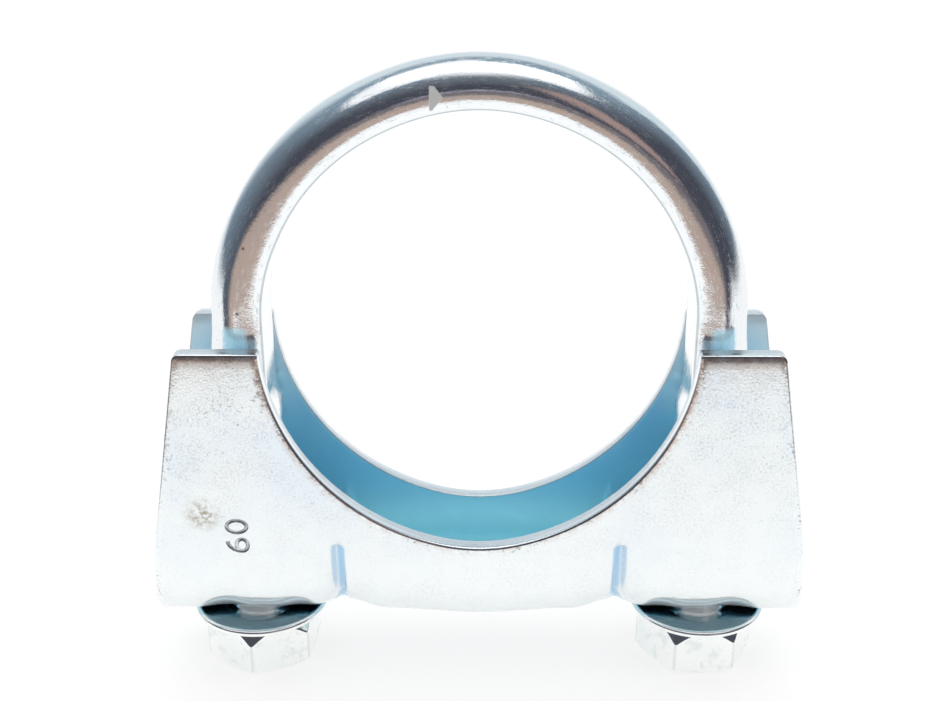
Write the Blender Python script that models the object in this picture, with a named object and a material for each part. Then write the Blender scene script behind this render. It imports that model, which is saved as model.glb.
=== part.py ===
"""Exhaust clamp for a 60 mm pipe: a pressed U-bolt, a folded sheet saddle and two flange nuts.

Metres, +Z up. The clamp stands on the end faces of its nuts, with the origin in the middle under it.
X runs across the legs of the bolt and Y runs along the pipe.
"""
import math

import bmesh
import bpy

mm = 0.001

# Fits
touch_gap = 0.3 * mm            # space left between faces that bear on each other
thread_gap = 0.3 * mm           # radial space between the nut's bore and the threaded leg

# Pipe
pipe_diameter = 60.0 * mm

# U-bolt
rod_diameter = 10.0 * mm
thread_diameter = 10.0 * mm
thread_pitch = 1.5 * mm
thread_length = 32.0 * mm
thread_chamfer = 1.0 * mm       # at the end of each leg
thread_runout = 0.8 * mm
leg_length = 57.4 * mm          # leg end to the start of the bend
leg_recess = 0.4 * mm           # leg end above the nut's end face
leg_play = 0.5 * mm             # pipe to the flat of a leg
arch_play = 0.05 * mm           # pipe to the flat of the bend, on its shoulders
crown_play = 0.3 * mm           # the bend is a touch pointed at its crown
flat_depth = 1.4 * mm           # how far the flat is pressed into the rod at the legs
crown_thickness = 6.6 * mm      # the rod is pressed thinnest at its crown
springing_thickness = 7.9 * mm  # and less where the bend starts
springing_run = 9.0 * mm        # length of leg over which that begins
crown_fullness = 1.6            # how late the bend thins towards its crown
crown_width = 12.2 * mm
leg_width = 10.6 * mm           # the pressed rod is wider than it was round
flat_share = 0.92               # flat's width over the rod's width
edge_break = 0.35 * mm          # chamfer along the flat's two edges
flat_start = 40.0 * mm          # leg end to where the flat begins
flat_blend = 6.0 * mm           # length over which it reaches its full width
arch_blend = 30.0               # degrees of bend over which the play changes, at legs and crown

# Flange nuts
nut_across_flats = 16.0 * mm
nut_height = 9.6 * mm
flange_diameter = 20.8 * mm
flange_thickness = 1.7 * mm     # where it meets the hexagon
flange_rim = 0.45 * mm          # height of its upright rim
flange_edge_run = 0.75 * mm     # round of its bearing edge, along the radius
flange_edge_drop = 0.4 * mm
foot_diameter = 13.9 * mm       # flat end face, inside the end chamfer
foot_chamfer_angle = 30.0       # degrees to the end face
neck_height = 2.2 * mm          # length of the draft that trims the corners below the flange
neck_draft = 30.0               # degrees to the axis
bore_chamfer = 0.6 * mm
left_nut_turn = -4.5            # degrees, where each nut was left
right_nut_turn = -26.0

# Saddle
sheet = 2.3 * mm                # thickness of the folded sheet
channel_depth = 17.9 * mm       # over both walls
bend_radius = 7.0 * mm          # outside
hole_play = 1.0 * mm            # bolt hole over the rod's diameter
horn_land = 3.65 * mm           # wall past the outside of the leg, at the top
side_taper = 5.65 * mm          # each end of the channel reaches this much further at the bottom
side_foot = 11.2 * mm           # height up to which the ends are upright
side_round = 80.0 * mm          # radius between the upright and the slope
bridge = 13.6 * mm              # wall left under the cut-out
bottom_relief = 5.4 * mm        # the cut-out's bottom radius is this much under the pipe's
flank_relief = 3.0 * mm         # and its flank radius this much over it
flank_offset = 2.2 * mm         # each flank's centre lies this far past the middle
horn_drop = 1.6 * mm            # horn tops below the flank centres
horn_outer_round = 1.3 * mm
horn_inner_round = 0.5 * mm
belly_drop = 0.65 * mm          # the middle of the web stands this much proud of the nut seats
belly_run = 15.0 * mm           # half its length
dart_land = 2.7 * mm            # flange rim to the middle of the pressed dart
dart_width = 2.7 * mm
dart_depth = 1.1 * mm
dart_height = 14.5 * mm         # reach up the wall
dart_end = 1.1 * mm             # its top end rises to the wall over this length
hollow_depth = 1.7 * mm         # the corner is drawn in round each dart
hollow_inner_run = 7.0 * mm
hollow_outer_run = 5.0 * mm
hollow_web_share = 0.3          # how much of the hollow runs on across the web
pinch_depth = 0.6 * mm          # the bends are pressed in on both sides of each bolt hole
pinch_inner = 7.0 * mm          # towards the dart, from the hole's middle
pinch_outer = 4.5 * mm          # and away from it
pinch_run = 4.7 * mm

# Facets
arch_steps = 44
dome_steps = 20
flat_steps = 10
bend_steps = 6
nut_steps = 48
spline_step = 3.0               # degrees on the cut-out's arcs

pipe_radius = pipe_diameter / 2
rod_radius = rod_diameter / 2
leg_flat = pipe_radius + leg_play
arch_flat = pipe_radius + arch_play
leg_x = leg_flat + rod_radius - flat_depth
thread_core = (thread_diameter - 0.6495 * thread_pitch) / 2
arch_z = leg_recess + leg_length
web_z = nut_height + touch_gap
flange_radius = flange_diameter / 2
nut_bore = thread_core + thread_gap
half_depth = channel_depth / 2
half_top = leg_x + rod_radius + horn_land
half_bottom = half_top + side_taper
dart_x = leg_x - flange_radius - dart_land


def smooth(share):
    """Eases from 0 to 1."""
    share = min(max(share, 0.0), 1.0)
    return share * share * (3.0 - 2.0 * share)


def swell(distance, run):
    """A rounded hump, 1 at its middle and 0 from run onwards."""
    return math.cos(math.pi / 2 * min(abs(distance) / run, 1.0)) ** 2


def clear_scene():
    for item in list(bpy.data.objects):
        bpy.data.objects.remove(item, do_unlink=True)


def zinc(name, colour, roughness):
    """Bright zinc plate on steel."""
    material = bpy.data.materials.new(name)
    material.use_nodes = True
    shader = material.node_tree.nodes["Principled BSDF"]
    shader.inputs["Base Color"].default_value = (*colour, 1.0)
    shader.inputs["Metallic"].default_value = 1.0
    shader.inputs["Roughness"].default_value = roughness
    return material


def solid(name, points, faces, parent=None, material=None, crease=30.0):
    """An object from points and faces, with its faces turned outwards and its round sides smooth."""
    mesh = bpy.data.meshes.new(name)
    mesh.from_pydata(points, [], faces)
    work = bmesh.new()
    work.from_mesh(mesh)
    bmesh.ops.recalc_face_normals(work, faces=work.faces)
    work.to_mesh(mesh)
    work.free()
    mesh.shade_smooth()
    mesh.set_sharp_from_angle(angle=math.radians(crease))
    item = bpy.data.objects.new(name, mesh)
    if material:
        mesh.materials.append(material)
    item.parent = parent
    bpy.context.scene.collection.objects.link(item)
    return item


def skin(rings, joined_ends=False):
    """Points and faces that run from ring to ring, capped at both ends or closed into a loop."""
    count = len(rings[0])
    points = [point for ring in rings for point in ring]
    faces = []
    spans = len(rings) if joined_ends else len(rings) - 1
    for i in range(spans):
        here, there = i * count, (i + 1) % len(rings) * count
        for j in range(count):
            k = (j + 1) % count
            faces.append((here + j, here + k, there + k, there + j))
    if not joined_ends:
        faces.append(tuple(range(count)))
        faces.append(tuple(range(len(points) - count, len(points))))
    return points, faces


def cutter(name, points, faces):
    item = solid(name, points, faces)
    item.hide_render = True
    item.display_type = "WIRE"
    return item


def boolean(item, tool, operation):
    step = item.modifiers.new(tool.name, "BOOLEAN")
    step.operation = operation
    step.solver = "EXACT"
    step.object = tool


def section_angles():
    """Angles round the rod: the dome and sides first, then across the flat."""
    edge = math.degrees(math.acos(flat_share))
    dome = [-edge + (180.0 + 2 * edge) * i / dome_steps for i in range(dome_steps + 1)]
    flat = [180.0 + edge + (180.0 - 2 * edge) * i / flat_steps for i in range(1, flat_steps)]
    return [math.radians(angle) for angle in dome + flat]


def round_section(radius):
    """A round rod as pairs of distance from the bolt's middle and place across it."""
    return [(leg_x + radius * math.sin(a), radius * math.cos(a)) for a in section_angles()]


def pressed_thickness(height):
    """Thickness of the pressed rod, from below 0 on the legs to a height of 1 at the crown."""
    if height < 0.0:
        leg_thickness = rod_diameter - flat_depth
        share = smooth(-height * arch_flat / springing_run)
        return springing_thickness + (leg_thickness - springing_thickness) * share
    return crown_thickness + (springing_thickness - crown_thickness) * (1.0 - height ** crown_fullness)


def pressed_section(press, height, inner):
    """The D of the pressed rod. press is 0 where it is still round and 1 where the flat is full."""
    wide = leg_width + (crown_width - leg_width) * max(height, 0.0)
    thick = pressed_thickness(height)
    waist = 0.38 * thick
    edge_angle = math.acos(flat_share)
    skirt = waist / math.sin(edge_angle)
    bottom = leg_x - rod_radius
    mix = lambda plain, pressed: plain + (pressed - plain) * press
    start = mix(bottom, inner)
    side = mix(rod_radius, waist)
    rise = mix(rod_radius, thick - waist)
    fall = mix(rod_radius, skirt)
    half = mix(rod_radius, wide / 2)
    section = []
    for angle in section_angles():
        lift = (rise if math.sin(angle) > 0 else fall) * math.sin(angle)
        section.append((start + max(side + lift, 0.0), half * math.cos(angle)))
    return broken_edges(section, press)


def broken_edges(section, press):
    """Splits each of the flat's two edges into a small chamfer."""
    lower, upper = section[0], section[dome_steps]
    cut = edge_break * press
    out = [(lower[0] + cut, lower[1])] + section[1:dome_steps] + [(upper[0] + cut, upper[1])]
    out.append((upper[0], upper[1] + cut))
    out += section[dome_steps + 1:]
    out.append((lower[0], lower[1] - cut))
    return out


def leg_rings():
    """Sections up one leg, each with its height over the leg's end."""
    core = thread_core
    stops = [(0.0, "round", core - thread_chamfer), (thread_chamfer, "round", core)]
    stops += [(thread_length, "round", core), (thread_length + thread_runout, "round", rod_radius)]
    steps = 5
    stops += [(flat_start + flat_blend * i / steps, "pressed", i / steps) for i in range(steps + 1)]
    flat_end = flat_start + flat_blend
    stops += [(flat_end + (leg_length - flat_end) * i / 4, "pressed", 1.0) for i in (1, 2, 3)]
    rings = []
    for rise, form, value in stops:
        height = (rise - leg_length) / arch_flat
        if form == "round":
            ring = doubled_edges(round_section(value))
        else:
            ring = pressed_section(smooth(value), height, leg_flat)
        rings.append((rise, ring))
    return rings


def doubled_edges(section):
    """Gives a round section the same number of points as a pressed one."""
    angles = section_angles()
    share = 0.3
    first = mid_point(section[-1], section[0], share)
    second = mid_point(section[dome_steps + 1], section[dome_steps], share)
    assert len(angles) == len(section)
    return section[:dome_steps + 1] + [second] + section[dome_steps + 1:] + [first]


def mid_point(one, other, share):
    """A point on the rod's round surface between two of its points."""
    near, far = 1.0 - share, share
    r = one[0] * far + other[0] * near - leg_x
    y = one[1] * far + other[1] * near
    scale = math.hypot(one[0] - leg_x, one[1]) / math.hypot(r, y)
    return leg_x + r * scale, y * scale


def make_bolt(parent):
    rings = []
    legs = leg_rings()
    for rise, ring in legs:
        rings.append([(-r, y, leg_recess + rise) for r, y in ring])
    for i in range(arch_steps + 1):
        turn = math.pi * i / arch_steps
        from_leg = math.degrees(min(turn, math.pi - turn))
        from_crown = 90.0 - from_leg
        inner = arch_flat + (leg_flat - arch_flat) * smooth(1.0 - from_leg / arch_blend)
        inner += (crown_play - arch_play) * smooth(1.0 - from_crown / arch_blend)
        ring = pressed_section(1.0, math.sin(turn), inner)
        rings.append([(-r * math.cos(turn), y, arch_z + r * math.sin(turn)) for r, y in ring])
    for rise, ring in reversed(legs):
        rings.append([(r, y, leg_recess + rise) for r, y in ring])
    plate = zinc("zinc_on_rod", (0.77, 0.80, 0.83), 0.22)
    return solid("u_bolt", *skin(rings), parent, plate)


def nut_ring(radius_at, height_at):
    """Points round the nut's axis, the radius and height of each given by its angle."""
    ring = []
    for i in range(nut_steps):
        turn = 2 * math.pi * i / nut_steps
        radius = radius_at(turn)
        ring.append((radius * math.sin(turn), -radius * math.cos(turn), height_at(radius)))
    return ring


def hexagon(turn):
    """Distance from the axis to the hexagon, a corner lying at angle 0."""
    sixth = math.pi / 3
    return nut_across_flats / 2 / math.cos(turn % sixth - sixth / 2)


def make_nut(name, side, turn, parent):
    """A flange nut, its flange upwards and its free end on the ground."""
    foot = foot_diameter / 2
    foot_slope = math.tan(math.radians(foot_chamfer_angle))
    under_flange = nut_height - flange_thickness
    corner = nut_across_flats / 2 / math.cos(math.pi / 6)
    neck_slope = math.tan(math.radians(neck_draft))
    neck_radius = corner - neck_height * neck_slope

    def plain(radius, height):
        return nut_ring(lambda angle: radius, lambda r: height)

    rings = [
        plain(nut_bore, bore_chamfer),
        plain(nut_bore + bore_chamfer, 0.0),
        plain(foot, 0.0),
        nut_ring(hexagon, lambda r: (r - foot) * foot_slope),
        nut_ring(hexagon, lambda r: under_flange - (r - neck_radius) / neck_slope),
        plain(neck_radius, under_flange),
        plain(flange_radius, nut_height - flange_edge_drop - flange_rim),
        plain(flange_radius, nut_height - flange_edge_drop),
        plain(flange_radius - flange_edge_run * 0.4, nut_height - flange_edge_drop * 0.3),
        plain(flange_radius - flange_edge_run, nut_height),
        plain(nut_bore + bore_chamfer, nut_height),
        plain(nut_bore, nut_height - bore_chamfer),
    ]
    plate = zinc("zinc_on_" + name, (0.80, 0.84, 0.85), 0.20)
    nut = solid(name, *skin(rings, joined_ends=True), parent, plate)
    nut.location = (side * leg_x, 0.0, -web_z)
    nut.rotation_euler = (0.0, 0.0, math.radians(turn))
    return nut


def fold_path():
    """The channel's outside from the front wall's top to the web's middle.

    Each stop holds its place (y, z), its outward direction, its distance along the sheet from the
    middle of the bend and how far round the bend it is, from 0 on the wall to 1 on the web.
    """
    wall_top = bridge + pipe_diameter
    quarter = math.pi / 4 * bend_radius
    stops = [(-half_depth, wall_top, -1.0, 0.0, wall_top - bend_radius + quarter, 0.0)]
    dart_top = dart_height - dart_end
    wall_steps = 4
    rises = [dart_height, dart_top + dart_end / 2]
    rises += [dart_top + (bend_radius - dart_top) * i / wall_steps for i in range(wall_steps)]
    for z in rises:
        stops.append((-half_depth, z, -1.0, 0.0, z - bend_radius + quarter, 0.0))
    for i in range(bend_steps + 1):
        angle = math.pi / 2 * i / bend_steps
        ny, nz = -math.cos(angle), -math.sin(angle)
        y = -half_depth + bend_radius + bend_radius * ny
        z = bend_radius + bend_radius * nz
        stops.append((y, z, ny, nz, abs(angle - math.pi / 4) * bend_radius, i / bend_steps))
    stops.append((0.0, 0.0, 0.0, -1.0, half_depth - bend_radius + quarter, 1.0))
    return stops


def press_out(x, along, turned):
    """How far the press has moved the sheet outwards at x, at a place along the fold."""
    quarter = math.pi / 4 * bend_radius
    wall_reach = dart_height - bend_radius + quarter
    web_reach = half_depth - bend_radius + quarter
    belly = belly_drop * swell(x, belly_run)
    inside = abs(x) < dart_x
    hollow = hollow_depth * swell(abs(x) - dart_x, hollow_inner_run if inside else hollow_outer_run)
    dart = dart_depth * swell(abs(x) - dart_x, dart_width / 2)
    pinch = pinch_depth * swell(abs(x) - leg_x + pinch_inner, pinch_run)
    pinch += pinch_depth * swell(abs(x) - leg_x - pinch_outer, pinch_run)
    if turned < 0.5:
        fade = swell(along, wall_reach)
        belly *= fade
        hollow *= fade ** 2
        dart *= smooth((wall_reach - along) / dart_end)
    else:
        fade = swell(along, web_reach)
        hollow *= hollow_web_share + (1.0 - hollow_web_share) * fade
        dart *= fade
    return belly - hollow - dart - pinch * math.sin(math.pi * turned) ** 2


def sheet_stations():
    """Places along X where the channel's section is taken, close together at the darts."""
    end = half_bottom + 2.0 * mm
    outer = dart_x + hollow_outer_run
    inner = dart_x - hollow_inner_run
    places = [end, half_bottom - 2.0 * mm]
    places += [leg_x + pinch_outer + pinch_run * i / 3 for i in (3, 2, 1, 0, -1, -2, -3)]
    places += [leg_x - pinch_inner + pinch_run * i / 3 for i in (2, 1, 0)]
    places += [(outer + dart_x + dart_width / 2) / 2]
    places += [dart_x + dart_width * i / 8 for i in range(4, -5, -1)]
    places += [dart_x - dart_width / 2 + (inner - dart_x + dart_width / 2) * i / 3 for i in (1, 2, 3)]
    places += [inner * 2 / 3, inner / 3]
    half = sorted(set(round(place, 6) for place in places))
    return [-place for place in reversed(half)] + [0.0] + half


def channel_blank():
    """The folded sheet before its outline is cut, as rings round its section."""
    path = fold_path()
    rings = []
    for x in sheet_stations():
        outside, inside = [], []
        for y, z, ny, nz, along, turned in path:
            out = press_out(x, along, turned)
            outside.append((x, y + ny * out, z + nz * out))
            inside.append((x, y + ny * (out - sheet), z + nz * (out - sheet)))
        outside += [(px, -py, pz) for px, py, pz in reversed(outside[:-1])]
        inside += [(px, -py, pz) for px, py, pz in reversed(inside[:-1])]
        rings.append(outside + inside[::-1])
    return rings


def arc(centre_x, centre_z, radius, start, end):
    """Points on an arc in the wall's plane, from start to end in degrees."""
    steps = max(2, math.ceil(abs(end - start) / spline_step))
    turns = [math.radians(start + (end - start) * i / steps) for i in range(steps + 1)]
    return [(centre_x + radius * math.cos(t), centre_z + radius * math.sin(t)) for t in turns]


def rounded(corner, before, after, radius, steps=4):
    """A corner of the outline, replaced by a round of the given radius."""
    ax, az = before[0] - corner[0], before[1] - corner[1]
    bx, bz = after[0] - corner[0], after[1] - corner[1]
    a_len, b_len = math.hypot(ax, az), math.hypot(bx, bz)
    ax, az, bx, bz = ax / a_len, az / a_len, bx / b_len, bz / b_len
    half = math.acos(max(-1.0, min(1.0, ax * bx + az * bz))) / 2
    reach = radius / math.tan(half)
    mid_x, mid_z = ax + bx, az + bz
    length = math.hypot(mid_x, mid_z)
    centre = (corner[0] + mid_x / length * radius / math.sin(half),
              corner[1] + mid_z / length * radius / math.sin(half))
    first = math.atan2(corner[1] + az * reach - centre[1], corner[0] + ax * reach - centre[0])
    last = math.atan2(corner[1] + bz * reach - centre[1], corner[0] + bx * reach - centre[0])
    sweep = (last - first + math.pi) % (2 * math.pi) - math.pi
    turns = [first + sweep * i / steps for i in range(steps + 1)]
    return [(centre[0] + radius * math.cos(t), centre[1] + radius * math.sin(t)) for t in turns]


def wall_outline():
    """Half the wall's outline, from its foot up the side, over the horn and down the cut-out."""
    bottom_radius = pipe_radius - bottom_relief
    flank_radius = pipe_radius + flank_relief
    bottom_z = bridge + bottom_radius
    flank_z = bottom_z + math.sqrt((flank_radius - bottom_radius) ** 2 - flank_offset ** 2)
    meet = math.degrees(math.atan2(bottom_z - flank_z, flank_offset))
    horn_z = flank_z - horn_drop
    horn_turn = -math.degrees(math.asin(horn_drop / flank_radius))
    horn_x = flank_radius * math.cos(math.radians(horn_turn)) - flank_offset
    foot = (half_bottom, -10.0 * mm)
    knee = (half_bottom, side_foot)
    shoulder = (half_top, horn_z)
    tip = (horn_x, horn_z)
    flank = arc(-flank_offset, flank_z, flank_radius, horn_turn, meet)
    side = rounded(knee, foot, shoulder, side_round)
    top = rounded(shoulder, knee, tip, horn_outer_round)
    inner = rounded(tip, shoulder, flank[1], horn_inner_round)
    clear = [point for point in flank if horn_z - point[1] > 2 * horn_inner_round]
    bottom = arc(0.0, bottom_z, bottom_radius, meet, -90.0)
    return [foot] + side + top + inner + clear + bottom[1:]


def make_saddle(parent):
    plate = zinc("zinc_on_sheet", (0.86, 0.90, 0.92), 0.28)
    saddle = solid("saddle", *skin(channel_blank()), parent, plate)
    saddle.location = (0.0, 0.0, web_z)

    half = wall_outline()
    outline = half + [(-x, z) for x, z in reversed(half[:-1])]
    reach = half_depth + 5.0 * mm
    front = [(x, -reach, z) for x, z in outline]
    back = [(x, reach, z) for x, z in outline]
    shape = cutter("outline_cutter", *skin([front, back]))
    shape.parent = saddle
    boolean(saddle, shape, "INTERSECT")

    hole = rod_radius + hole_play / 2
    for side in (-1, 1):
        low, high = [], []
        for i in range(nut_steps):
            turn = 2 * math.pi * i / nut_steps
            x, y = side * leg_x + hole * math.cos(turn), hole * math.sin(turn)
            low.append((x, y, -5.0 * mm))
            high.append((x, y, sheet + 5.0 * mm))
        drill = cutter("left_drill" if side < 0 else "right_drill", *skin([low, high]))
        drill.parent = saddle
        boolean(saddle, drill, "DIFFERENCE")
    return saddle


def main():
    clear_scene()
    clamp = bpy.data.objects.new("exhaust_clamp", None)
    bpy.context.scene.collection.objects.link(clamp)
    make_bolt(clamp)
    saddle = make_saddle(clamp)
    make_nut("nut_left", -1, left_nut_turn, saddle)
    make_nut("nut_right", 1, right_nut_turn, saddle)


main()
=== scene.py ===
"""Looks of the exhaust clamp: bright zinc plate on a U-bolt, a folded saddle and two flange nuts.

Metres, +Z up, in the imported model's frame.
"""

import math

import bmesh
import bpy
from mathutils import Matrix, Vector


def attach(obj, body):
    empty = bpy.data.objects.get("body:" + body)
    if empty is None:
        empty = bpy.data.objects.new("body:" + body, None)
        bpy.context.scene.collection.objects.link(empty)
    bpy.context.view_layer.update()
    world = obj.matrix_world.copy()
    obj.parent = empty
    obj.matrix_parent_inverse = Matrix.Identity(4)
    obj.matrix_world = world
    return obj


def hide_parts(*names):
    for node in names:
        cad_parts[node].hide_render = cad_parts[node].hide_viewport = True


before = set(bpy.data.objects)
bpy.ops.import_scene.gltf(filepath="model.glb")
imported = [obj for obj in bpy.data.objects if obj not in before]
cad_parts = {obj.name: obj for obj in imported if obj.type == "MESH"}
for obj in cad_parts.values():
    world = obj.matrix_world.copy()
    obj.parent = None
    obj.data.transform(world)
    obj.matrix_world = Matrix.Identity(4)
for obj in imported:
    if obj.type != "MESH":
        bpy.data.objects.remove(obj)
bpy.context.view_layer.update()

mm = 0.001

# Sizes of the clamp
rod_radius = 5.0 * mm
leg_x = 34.1 * mm
leg_end_z = 0.4 * mm            # ground to the legs' ends, and to where the bend starts
arch_z = 57.8 * mm
leg_flat = 30.5 * mm            # bolt's middle to the flat on a leg
arch_flat = 30.05 * mm          # to the flat on the shoulders of the bend
crown_flat = 30.3 * mm          # and to the flat at the crown
arch_blend = 30.0               # degrees of bend over which the one turns into the other
crown_thickness = 6.6 * mm
springing_thickness = 7.9 * mm  # where the bend starts
leg_thickness = 8.6 * mm
springing_run = 9.0 * mm        # length of leg over which it thins to that
crown_fullness = 1.6            # how late the bend thins towards its crown
crown_width = 12.2 * mm
leg_width = 10.6 * mm
flat_share = 0.92               # flat's width over the rod's width
flat_start = 40.0 * mm          # leg end to where the flat begins
flat_blend = 6.0 * mm           # length over which it reaches its full width
flat_corner = 0.45 * mm         # rounding of the flat's two edges
dome_steps = 44                 # sides round the rod, and across its flat
flat_steps = 12
bend_steps = 120                # rings round the bend
rod_girth = 34.0 * mm           # width of the strip that its drawn streaks are laid out on

thread_length = 32.0 * mm
thread_pitch = 1.5 * mm
leg_root = 4.12 * mm            # radius at the root of the leg's thread
leg_crest = 4.92 * mm
bore_root = 5.15 * mm           # radius at the root of the nut's thread
bore_crest = 4.45 * mm

nut_height = 9.6 * mm
nut_across_flats = 16.0 * mm
flange_radius = 10.4 * mm
flange_thickness = 1.7 * mm     # where it meets the hexagon
flange_rim = 0.45 * mm
flange_edge_run = 0.75 * mm     # round of its bearing edge, along the radius
flange_edge_drop = 0.4 * mm
foot_radius = 6.95 * mm         # flat end face, inside its chamfer
neck_height = 2.2 * mm          # length of the draft under the flange
nut_turns = {"nut_left": -4.5, "nut_right": -26.0}     # degrees, as each was left
nut_steps = 180                 # sides round a nut

web_z = 9.9 * mm                # ground to the underside of the web
sheet = 2.3 * mm
half_depth = 8.95 * mm
bend_radius = 7.0 * mm          # outside
half_top = 42.75 * mm           # half the saddle's length, at its horns and at its foot
half_bottom = 48.4 * mm
side_foot = 11.2 * mm           # height at which each end starts to taper
side_round = 80.0 * mm
bridge = 13.6 * mm              # height of the wall under the cut-out
bottom_radius = 24.6 * mm       # of the cut-out
flank_radius = 33.0 * mm
flank_offset = 2.2 * mm         # how far past the middle a flank's centre lies
horn_drop = 1.6 * mm            # flanks' centre down to the top of the horns
horn_outer_round = 1.3 * mm
horn_inner_round = 0.5 * mm
belly_drop = 0.65 * mm          # how far the sheet is bowed out in its middle
belly_run = 15.0 * mm
dart_x = 21.0 * mm
dart_width = 2.7 * mm
dart_depth = 1.1 * mm
dart_height = 14.5 * mm         # over the web
dart_end = 1.1 * mm             # length over which a dart runs out
hollow_depth = 1.7 * mm         # how far the bend is drawn in round a dart
hollow_inner_run = 7.0 * mm
hollow_outer_run = 5.0 * mm
hollow_web_share = 0.3          # share of that left at the middle of the web
pinch_depth = 0.6 * mm          # how far it is pinched in on both sides of a leg
pinch_inner = 7.0 * mm
pinch_outer = 4.5 * mm
pinch_run = 4.7 * mm
hole_radius = 5.5 * mm
hole_steps = 72
cut_bottom_z = bridge + bottom_radius
cut_flank_z = cut_bottom_z + math.sqrt((flank_radius - bottom_radius) ** 2 - flank_offset ** 2)
horn_z = cut_flank_z - horn_drop
horn_top = 54.6 * mm            # ground to the top of the horns, as the finish's painted brown reflection takes it

# Colours of the finish, and of the light and shade painted on it
pit_grey = (0.24, 0.25, 0.27)
# painted reflection of the white floor, low on the front wall
wall_floor_reflection = (0.96, 0.995, 1.0)
# painted blue shade and reflection where the web's underside faces the flanges
wall_underside_shade = (0.50, 0.69, 0.76)
wall_mottle = (0.37, 0.40, 0.40)
# painted brown reflection of the room, by the cut-out and the horn tops
wall_brown_reflection = (0.56, 0.44, 0.38)
wall_stain = (0.34, 0.29, 0.17)
wall_speck = (0.22, 0.20, 0.18)
# painted blue reflection on one flank of each dart
dart_reflection_blue = (0.42, 0.68, 0.92)
# painted light in the saddle's inside: lighter at its bottom and up in its horns
inside_lit_bottom = (0.54, 0.92, 1.0)
inside_lit_horns = (0.76, 0.88, 0.94)
torn_edge = (0.80, 0.84, 0.86)
rod_speck = (0.13, 0.12, 0.13)
rod_edge_line = (0.46, 0.53, 0.55)
rod_nick = (0.10, 0.08, 0.08)
# painted blue reflection at the foot of each leg
rod_foot_reflection = (0.50, 0.84, 1.0)
rod_bruise = (0.46, 0.47, 0.46)
nut_speck = (0.25, 0.23, 0.22)
# painted shade line down the nuts' hexagon corners
nut_corner_shade = (0.50, 0.55, 0.56)
nut_film = (0.72, 0.80, 0.77)
# painted blue shade on the flanges' bearing faces, under the saddle
nut_bearing_shade = (0.52, 0.70, 0.76)

# Marks in the finish: centre, reach and, for the smudges, strength
wall_smudges = (((0.0099, -0.009, 0.0226), 0.007, 0.35), ((-0.0400, -0.009, 0.036), 0.009, 0.40),
                ((-0.0340, -0.009, 0.047), 0.008, 0.30))
stain_place = ((-0.0404, -0.009, 0.0292), 0.0036)
rod_nicks = (((0.0120, -0.0038, 0.0842), 0.0004), ((0.0128, -0.0036, 0.0838), 0.0004),
             ((0.0147, -0.0034, 0.0829), 0.0003), ((-0.0323, -0.0055, 0.0690), 0.0004),
             ((-0.0338, -0.0053, 0.0593), 0.0004))
foot_reflection_up = (52.5 * mm, 57.0 * mm)        # the painted blue reflection at the foot of each leg, over the ground
foot_reflection_aside = (32.8 * mm, 36.0 * mm)     # and from the bolt's middle
bruise_up = (88.2 * mm, 91.4 * mm)

# Colours of the room that reflections see
room_dark = (0.060, 0.064, 0.084)
room_haze_front = (0.30, 0.34, 0.38)
room_haze_side = (0.30, 0.41, 0.50)
room_rear = (0.68, 0.76, 0.81)
room_warm = (0.37, 0.26, 0.24)
room_window = (0.37, 0.35, 0.42)
room_bench = (0.20, 0.175, 0.185)
room_table = (0.47, 0.36, 0.31)
room_paper = (0.97, 0.98, 0.985)
room_ceiling = (0.98, 0.985, 1.0)

# Floor and camera
floor_half_side = 2.5           # metres
floor_white = (0.93, 0.93, 0.93)
floor_seen = (0.34, 0.34, 0.34)     # what the camera and reflections see: a grey that keeps the shadow
floor_glow = (0.68, 0.68, 0.68)     # and a glow that brings the rest up to white
strip_front = (0.130, 0.132)    # metres in front of the clamp up to which reflections see the floor
strip_side = (0.10, 0.12)       # and metres aside
strip_skew = 0.06               # how much less in front for each metre aside
picture_width = 949.0           # pixels, as the focal length
focal_length = 1350.0
sensor_width = 36.0             # millimetres, as Blender's lens
camera_place = (0.53 * mm, -180.0 * mm, 129.8 * mm)
camera_turn = (90.0 - 23.5, 0.05, 0.36)     # degrees


# Small helpers

def smooth(share):
    share = min(max(share, 0.0), 1.0)
    return share * share * (3.0 - 2.0 * share)


def swell(distance, run):
    """A rounded hump, 1 at its middle and 0 from run onwards."""
    return math.cos(math.pi / 2 * min(abs(distance) / run, 1.0)) ** 2


def add_object(name, data):
    item = bpy.data.objects.new(name, data)
    bpy.context.scene.collection.objects.link(item)
    return item


def face_outwards(mesh):
    work = bmesh.new()
    work.from_mesh(mesh)
    bmesh.ops.recalc_face_normals(work, faces=work.faces)
    work.to_mesh(mesh)
    work.free()


def shade(mesh, crease):
    """Smooth, but for edges sharper than crease."""
    mesh.shade_smooth()
    mesh.set_sharp_from_angle(angle=math.radians(crease))


def settled_mesh(item):
    """An object's mesh with its modifiers applied."""
    bpy.context.view_layer.update()
    return bpy.data.meshes.new_from_object(item.evaluated_get(bpy.context.evaluated_depsgraph_get()))


def mesh_object(name, points, faces, materials, crease=32.0):
    """A closed mesh at the origin, faces outwards, smooth but for edges sharper than crease."""
    mesh = bpy.data.meshes.new(name)
    mesh.from_pydata(points, [], faces)
    face_outwards(mesh)
    shade(mesh, crease)
    for material in materials:
        mesh.materials.append(material)
    return add_object(name, mesh)


def ring_faces(ring_count, size, closed):
    """Faces that join rings of equal size, capped at both ends or joined into a loop."""
    faces = []
    for i in range(ring_count if closed else ring_count - 1):
        here, there = i * size, (i + 1) % ring_count * size
        for j in range(size):
            k = (j + 1) % size
            faces.append((here + j, here + k, there + k, there + j))
    if not closed:
        faces.append(tuple(range(size)))
        faces.append(tuple(range((ring_count - 1) * size, ring_count * size)))
    return faces


# Node helpers

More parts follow.
